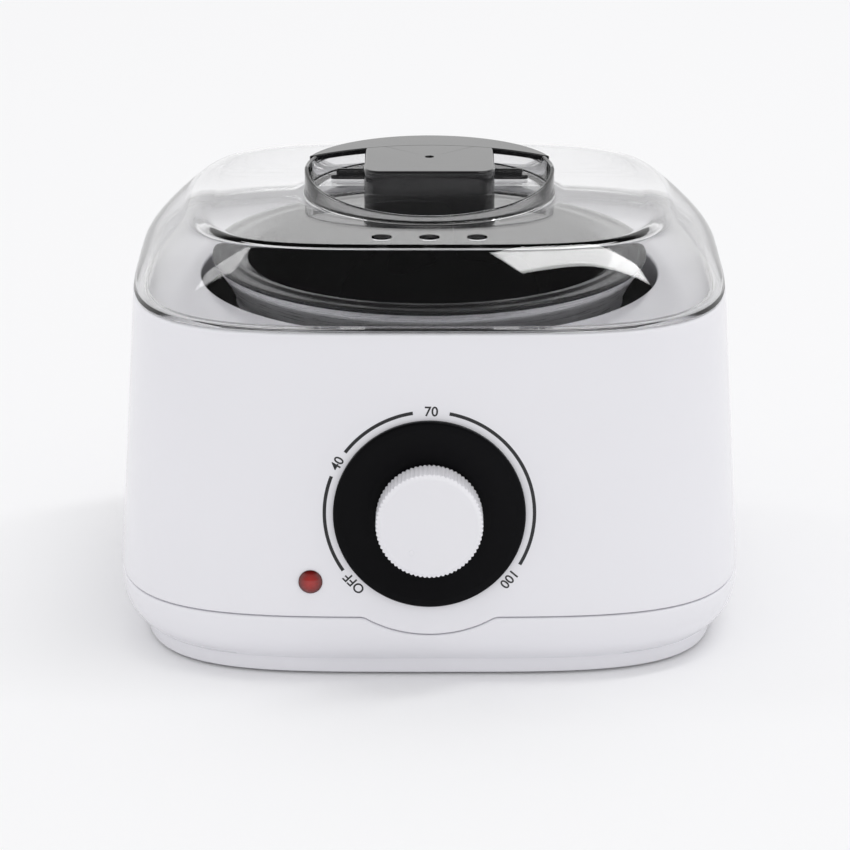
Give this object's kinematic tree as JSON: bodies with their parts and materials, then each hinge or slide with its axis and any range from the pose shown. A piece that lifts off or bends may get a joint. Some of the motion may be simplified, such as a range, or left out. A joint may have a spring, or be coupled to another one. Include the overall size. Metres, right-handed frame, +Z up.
{
  "type": "wax melter",
  "caption": "Countertop wax melter: squarish moulded body, heated bowl with a lift-out flanged pot, clear lid with a black pinch handle, rotary thermostat dial and pilot lamp.",
  "frame": {"origin": "centre of the footprint on the table under the feet, which is the bottom centre of the bounding box; the pot's and lid's shared upright axis goes through it", "axes": "+Z up; the front with the dial faces -Y; +X is to the right as seen from the front"},
  "size_m": [0.18, 0.1896, 0.1284],
  "materials": {
    "shell_white": "gloss",
    "lid_clear": "clear moulded plastic",
    "handle_black": "gloss",
    "bowl_alloy": "spun, satin",
    "pot_alloy": "drawn, with a dark satin non-stick coat",
    "steel": "zinc plated",
    "brass": "plain",
    "seal_black": "matte",
    "foot_grey": "matte",
    "lens_red": "clear red",
    "bulb_glass": "clear",
    "inner_plastic": "matte",
    "heater_mica": "matte",
    "wrap_fibre": "glass fibre felt",
    "terminal_ceramic": "unglazed",
    "sleeve_white": "matte",
    "wire_brown": "sleeve",
    "wire_blue": "sleeve",
    "wire_white": "heat-proof sleeve"
  },
  "bodies": {
    "housing": {"upper_shell": "shell_white", "base_tray": "shell_white", "bottom_cover": "shell_white", "foot_front_left": "foot_grey", "foot_front_right": "foot_grey", "foot_rear_left": "foot_grey", "foot_rear_right": "foot_grey", "cover_screws": "steel", "heating_bowl": "bowl_alloy", "bowl_bracket": "steel", "bracket_screws": "steel", "seal_ring": "seal_black", "band_heater": "heater_mica", "heater_bolt": "steel", "heater_nut": "steel", "insulation_wrap": "wrap_fibre", "heat_shield": "steel", "shield_screws": "steel", "thermal_fuse": "terminal_ceramic", "fuse_clip": "steel", "dial_bezel": "handle_black", "thermostat_body": "inner_plastic", "thermostat_tabs": "brass", "thermostat_nut": "steel", "lamp_lens": "lens_red", "lamp_holder": "inner_plastic", "lamp_bulb": "bulb_glass", "terminal_block": "terminal_ceramic", "cord_inlet": "sleeve_white", "inlet_nut": "inner_plastic", "supply_wire_live": "wire_brown", "supply_wire_neutral": "wire_blue", "thermostat_wire": "wire_brown", "fuse_feed_wire": "wire_white", "heater_feed_wire": "wire_white", "heater_return_wire": "wire_blue", "lamp_wire": "wire_white"},
    "lid": {"lid_shell": "lid_clear", "lid_handle": "handle_black", "handle_screws": "steel"},
    "pot": {"inner_pot": "pot_alloy"},
    "dial": {"thermostat_shaft": "steel", "knob": "shell_white", "knob_insert": "brass", "knob_marker": "shell_white"}
  },
  "joints": [
    {"name": "lid_lift", "type": "slide", "parent": "housing", "child": "lid", "axis": [0, 0, 1], "range_m": [0, 0.1]},
    {"name": "pot_lift", "type": "slide", "parent": "housing", "child": "pot", "axis": [0, 0, 1], "range_m": [0, 0.08]},
    {"name": "dial_turn", "type": "hinge", "parent": "housing", "child": "dial", "pos_m": [0, -0.08064, 0.0503], "axis": [0, 0.9981, -0.0616], "range_deg": [0, 280]}
  ],
  "couplings": [
    {"joint": "pot_lift", "follows": "lid_lift", "ratio": 0.8}
  ]
}
